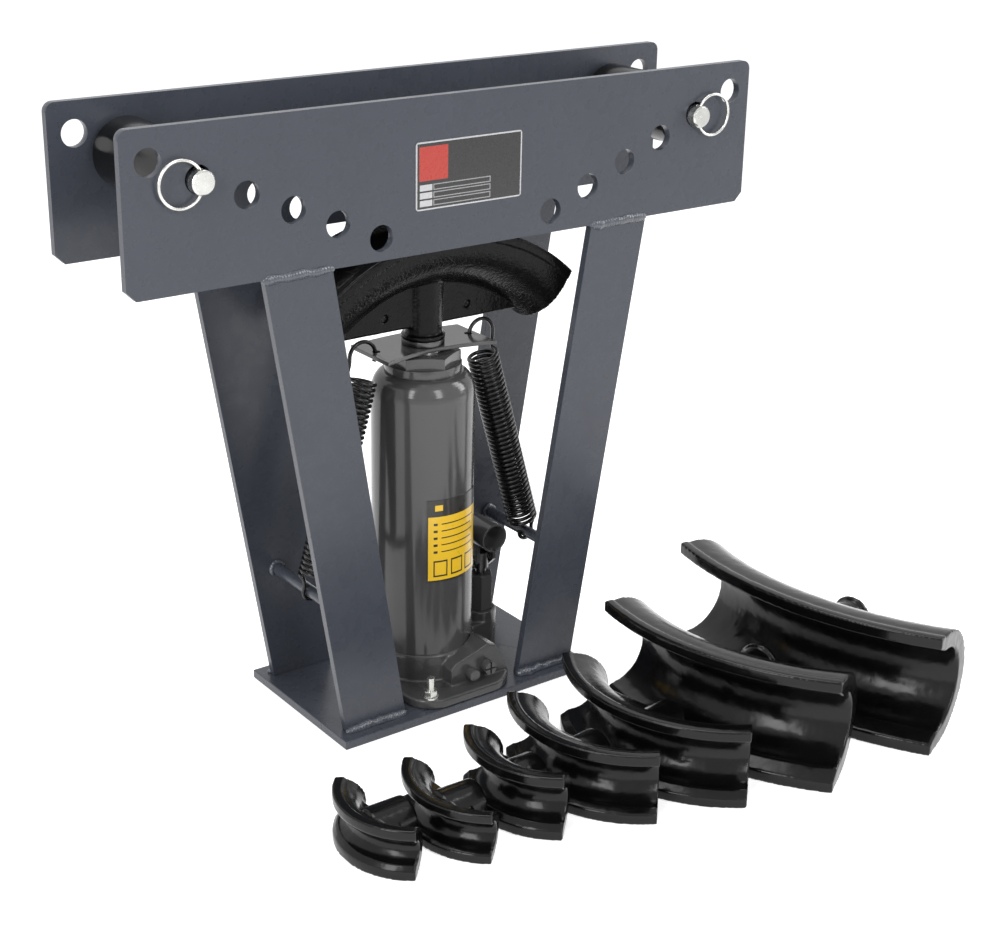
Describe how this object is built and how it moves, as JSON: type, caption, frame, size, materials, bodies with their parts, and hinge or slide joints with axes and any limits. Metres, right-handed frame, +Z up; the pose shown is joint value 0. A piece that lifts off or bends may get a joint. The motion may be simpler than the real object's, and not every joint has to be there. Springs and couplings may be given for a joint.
{
  "type": "hydraulic pipe bender",
  "caption": "Hydraulic pipe bender: two drilled beams on a welded leg frame, a bottle jack with return springs that lifts a grooved former between rollers on pins, and loose formers.",
  "frame": {"origin": "on the underside of the base plate, under the jack's axis", "axes": "+X along the beams to the right, +Y away from the front beam, +Z up along the ram"},
  "size_m": [0.7403, 0.5196, 0.628],
  "materials": {
    "frame_paint": "smooth satin paint",
    "jack_paint": "glossy paint",
    "casting_paint": "glossy paint on rough cast iron",
    "black_casting": "thick glossy black paint on cast iron",
    "black_steel": "black finish",
    "zinc": "bright zinc plating",
    "steel": "turned steel",
    "black_rubber": "oil-proof rubber",
    "fibre": "pressed fibre gasket",
    "plate_print": "printed plate",
    "label_print": "printed film"
  },
  "bodies": {
    "frame": {"base_plate": "frame_paint", "front_beam": "frame_paint", "back_beam": "frame_paint", "leg_front_left": "frame_paint", "leg_front_right": "frame_paint", "leg_back_left": "frame_paint", "leg_back_right": "frame_paint", "beam_welds": "frame_paint", "foot_welds": "frame_paint", "rod_left": "frame_paint", "rod_right": "frame_paint", "rod_welds": "frame_paint", "jack_casting": "casting_paint", "oil_tank": "jack_paint", "pressure_cylinder": "steel", "tank_nut": "jack_paint", "tank_seal": "black_rubber", "cylinder_gasket": "fibre", "filler_plug": "black_rubber", "stud_set": "zinc", "stud_nuts": "zinc", "stud_washers": "zinc", "pump_body": "jack_paint", "plunger_seal": "black_rubber", "fulcrum_pin": "zinc", "valve_ball": "steel", "safety_valve": "black_steel", "rating_plate": "plate_print", "tank_label": "label_print"},
    "ram": {"ram": "steel", "ram_piston": "steel", "piston_seal": "black_rubber", "ram_collar": "steel", "spring_plate": "jack_paint", "spring_left": "black_steel", "spring_right": "black_steel"},
    "plunger": {"pump_plunger": "steel", "plunger_pin": "zinc"},
    "handle_socket": {"handle_socket": "jack_paint"},
    "release_valve": {"release_valve": "black_steel"},
    "roller_left": {"roller_left": "black_casting"},
    "roller_right": {"roller_right": "black_casting"},
    "pin_left": {"pin_left": "zinc"},
    "pin_right": {"pin_right": "zinc"},
    "ring_left": {"ring_left": "zinc"},
    "ring_right": {"ring_right": "zinc"},
    "former_dn15": {"former_dn15": "black_casting"},
    "former_dn20": {"former_dn20": "black_casting"},
    "former_dn25": {"former_dn25": "black_casting"},
    "former_dn32": {"former_dn32": "black_casting"},
    "former_dn40": {"former_dn40": "black_casting"},
    "former_dn50": {"former_dn50": "black_casting"},
    "former_dn65": {"former_dn65": "black_casting"},
    "former_dn80": {"former_dn80": "black_casting"}
  },
  "joints": [
    {"name": "ram_slide", "type": "slide", "parent": "frame", "child": "ram", "axis": [0, 0, 1], "range_m": [0, 0.2], "deforming": ["spring_left", "spring_right"]},
    {"name": "former_dn50_lift", "type": "slide", "parent": "ram", "child": "former_dn50", "axis": [0, 0, 1], "range_m": [0, 0.08]},
    {"name": "handle_hinge", "type": "hinge", "parent": "frame", "child": "handle_socket", "pos_m": [0.0755, 0.026, 0.115], "axis": [1, 0, 0], "range_deg": [-20, 12]},
    {"name": "plunger_slide", "type": "slide", "parent": "frame", "child": "plunger", "axis": [0, 0, 1], "range_m": [-0.0056, 0.0092]},
    {"name": "release_valve_turn", "type": "hinge", "parent": "frame", "child": "release_valve", "pos_m": [0.0315, -0.072, 0.031], "axis": [0, 1, 0], "range_deg": [0, 180]},
    {"name": "roller_left_spin", "type": "hinge", "parent": "frame", "child": "roller_left", "pos_m": [-0.279, 0, 0.57858], "axis": [0, 1, 0], "continuous": true},
    {"name": "pin_left_pull", "type": "slide", "parent": "frame", "child": "pin_left", "axis": [0, -1, 0], "range_m": [0, 0.17]},
    {"name": "ring_left_swing", "type": "hinge", "parent": "pin_left", "child": "ring_left", "pos_m": [-0.279, -0.0805, 0.57858], "axis": [0, 0, 1], "range_deg": [0, 165]},
    {"name": "roller_right_spin", "type": "hinge", "parent": "frame", "child": "roller_right", "pos_m": [0.279, 0, 0.57858], "axis": [0, 1, 0], "continuous": true},
    {"name": "pin_right_pull", "type": "slide", "parent": "frame", "child": "pin_right", "axis": [0, -1, 0], "range_m": [0, 0.17]},
    {"name": "ring_right_swing", "type": "hinge", "parent": "pin_right", "child": "ring_right", "pos_m": [0.279, -0.0805, 0.57858], "axis": [0, 0, 1], "range_deg": [-165, 0]},
    {"name": "former_dn15_lift", "type": "slide", "parent": "frame", "child": "former_dn15", "axis": [0, 0, 1], "range_m": [0, 0.15]},
    {"name": "former_dn20_lift", "type": "slide", "parent": "frame", "child": "former_dn20", "axis": [0, 0, 1], "range_m": [0, 0.15]},
    {"name": "former_dn25_lift", "type": "slide", "parent": "frame", "child": "former_dn25", "axis": [0, 0, 1], "range_m": [0, 0.15]},
    {"name": "former_dn32_lift", "type": "slide", "parent": "frame", "child": "former_dn32", "axis": [0, 0, 1], "range_m": [0, 0.15]},
    {"name": "former_dn40_lift", "type": "slide", "parent": "frame", "child": "former_dn40", "axis": [0, 0, 1], "range_m": [0, 0.15]},
    {"name": "former_dn65_lift", "type": "slide", "parent": "frame", "child": "former_dn65", "axis": [0, 0, 1], "range_m": [0, 0.15]},
    {"name": "former_dn80_lift", "type": "slide", "parent": "frame", "child": "former_dn80", "axis": [0, 0, 1], "range_m": [0, 0.15]}
  ],
  "couplings": [
    {"joint": "plunger_slide", "follows": "handle_hinge", "m_per_rad": -0.026}
  ]
}
